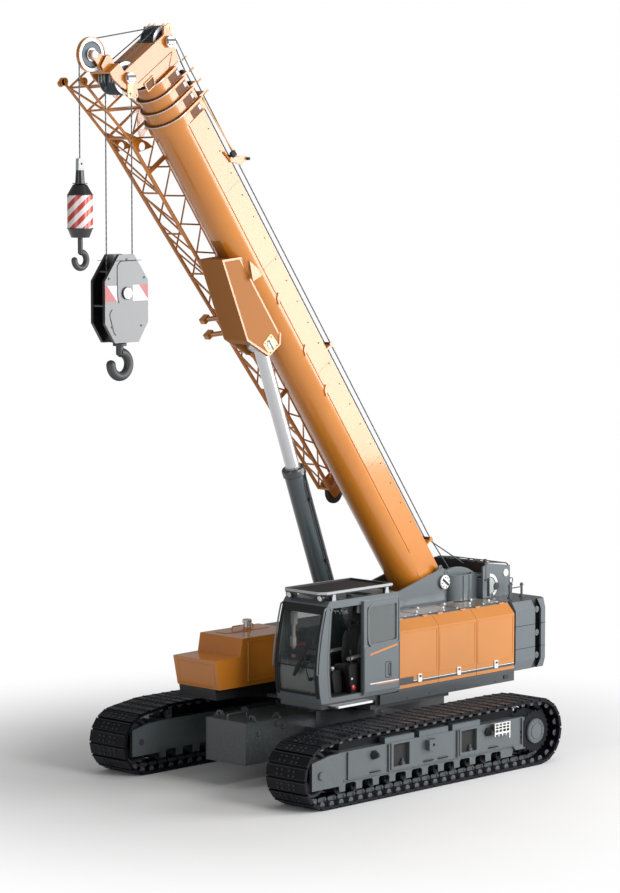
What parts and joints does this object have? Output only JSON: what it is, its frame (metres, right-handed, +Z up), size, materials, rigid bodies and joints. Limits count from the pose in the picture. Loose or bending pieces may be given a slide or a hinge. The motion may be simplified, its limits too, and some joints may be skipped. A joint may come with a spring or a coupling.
{
  "type": "crawler crane",
  "caption": "Telescopic crawler crane with a long nested boom, side cab, engine housing, cast counterweight and hooks on wire ropes.",
  "frame": {"origin": "on the ground under the slewing axis", "axes": "+X forwards, the way the boom points; +Y to the crane's left; +Z up"},
  "size_m": [10.5191, 5.3, 13.1071],
  "materials": {
    "orange_paint": "satin",
    "dark_grey_paint": "satin",
    "mid_grey_paint": "satin",
    "red_paint": "satin",
    "blue_grey_paint": "satin",
    "track_steel": "worn",
    "dark_iron": "rough",
    "sheave_grey": "satin",
    "bright_rod": "polished",
    "wire_rope": "oiled",
    "glass": "clear",
    "black_plastic": "matte"
  },
  "bodies": {
    "undercarriage": {"carbody": "dark_grey_paint", "crossbeams": "mid_grey_paint", "track_frame_left": "mid_grey_paint", "track_frame_right": "mid_grey_paint", "track_left": "track_steel", "track_right": "track_steel", "idlers": "track_steel", "sprockets": "track_steel", "track_rollers": "track_steel"},
    "superstructure": {"turntable": "dark_grey_paint", "winch_frame": "mid_grey_paint", "winches": "dark_grey_paint", "side_decks": "dark_grey_paint", "engine_hood": "dark_grey_paint", "engine": "dark_iron", "right_housing": "dark_grey_paint", "fuel_tank": "orange_paint", "tank_skirt": "dark_grey_paint", "counterweight": "mid_grey_paint", "cab_shell": "mid_grey_paint", "cab_glass": "glass", "cab_roof_guard": "dark_grey_paint", "cab_interior": "black_plastic"},
    "sliding_door": {"cab_door": "mid_grey_paint", "cab_door_glass": "glass"},
    "front_door": {"engine_door_front": "orange_paint"},
    "middle_door": {"engine_door_middle": "orange_paint"},
    "rear_door": {"engine_door_rear": "orange_paint"},
    "base_section": {"boom_base": "orange_paint", "jib": "orange_paint"},
    "second_section": {"boom_section_2": "orange_paint"},
    "third_section": {"boom_section_3": "orange_paint"},
    "fourth_section": {"boom_section_4": "orange_paint"},
    "head_section": {"boom_head": "orange_paint", "head_sheaves": "sheave_grey"},
    "cylinder_rod": {"luff_rod": "bright_rod"},
    "cylinder_barrel": {"luff_barrel": "blue_grey_paint"},
    "main_rope": {"main_falls": "wire_rope"},
    "main_hook_gear": {"main_block": "mid_grey_paint", "block_sheaves": "sheave_grey", "main_hook": "dark_iron"},
    "aux_line": {"aux_rope": "wire_rope"},
    "aux_hook_gear": {"aux_weight": "red_paint", "aux_hook": "dark_iron"}
  },
  "joints": [
    {"name": "slew", "type": "hinge", "parent": "undercarriage", "child": "superstructure", "pos_m": [0, 0, 1.24], "axis": [0, 0, 1], "continuous": true},
    {"name": "cab_door_slide", "type": "slide", "parent": "superstructure", "child": "sliding_door", "axis": [1, 0, 0], "range_m": [0, 0.86]},
    {"name": "engine_door_front_hinge", "type": "hinge", "parent": "superstructure", "child": "front_door", "pos_m": [0, 1.346, 2.758], "axis": [1, 0, 0], "range_deg": [0, 80]},
    {"name": "engine_door_middle_hinge", "type": "hinge", "parent": "superstructure", "child": "middle_door", "pos_m": [0, 1.346, 2.758], "axis": [1, 0, 0], "range_deg": [0, 80]},
    {"name": "engine_door_rear_hinge", "type": "hinge", "parent": "superstructure", "child": "rear_door", "pos_m": [0, 1.346, 2.758], "axis": [1, 0, 0], "range_deg": [0, 80]},
    {"name": "boom_luff", "type": "hinge", "parent": "superstructure", "child": "base_section", "pos_m": [-2.55, 0, 3.13], "axis": [0, -1, 0], "range_deg": [-54.3, 25.7]},
    {"name": "telescope_1", "type": "slide", "parent": "base_section", "child": "second_section", "axis": [0.5835, 0, 0.8121], "range_m": [0, 8.775]},
    {"name": "telescope_2", "type": "slide", "parent": "second_section", "child": "third_section", "axis": [0.5835, 0, 0.8121], "range_m": [0, 8.775]},
    {"name": "telescope_3", "type": "slide", "parent": "third_section", "child": "fourth_section", "axis": [0.5835, 0, 0.8121], "range_m": [0, 8.775]},
    {"name": "telescope_4", "type": "slide", "parent": "fourth_section", "child": "head_section", "axis": [0.5835, 0, 0.8121], "range_m": [0, 8.775]},
    {"name": "rod_eye", "type": "hinge", "parent": "base_section", "child": "cylinder_rod", "pos_m": [1.74198, 0, 7.68058], "axis": [0, -1, 0], "range_deg": [-5.44, 2.58]},
    {"name": "cylinder_slide", "type": "slide", "parent": "cylinder_rod", "child": "cylinder_barrel", "axis": [-0.3521, 0, -0.936], "range_m": [-2.1334, 1.0102]},
    {"name": "main_swing", "type": "hinge", "parent": "head_section", "child": "main_rope", "pos_m": [5.03956, 0, 12.22165], "axis": [0, -1, 0], "range_deg": [-25.71, 54.31]},
    {"name": "main_hoist", "type": "slide", "parent": "main_rope", "child": "main_hook_gear", "axis": [0, 0, -1], "range_m": [-1.5, 0], "deforming": ["main_falls"]},
    {"name": "aux_swing", "type": "hinge", "parent": "head_section", "child": "aux_line", "pos_m": [5.64977, 0, 12.59959], "axis": [0, -1, 0], "range_deg": [-25.71, 54.31]},
    {"name": "aux_hoist", "type": "slide", "parent": "aux_line", "child": "aux_hook_gear", "axis": [0, 0, -1], "range_m": [-1.2, 0], "deforming": ["aux_rope"]}
  ],
  "couplings": [
    {"joint": "telescope_2", "follows": "telescope_1", "ratio": 1},
    {"joint": "telescope_3", "follows": "telescope_1", "ratio": 1},
    {"joint": "telescope_4", "follows": "telescope_1", "ratio": 1},
    {"joint": "rod_eye", "follows": "boom_luff", "ratio": 0.1},
    {"joint": "cylinder_slide", "follows": "boom_luff", "m_per_rad": 2.25},
    {"joint": "main_swing", "follows": "boom_luff", "ratio": -1},
    {"joint": "aux_swing", "follows": "boom_luff", "ratio": -1}
  ]
}
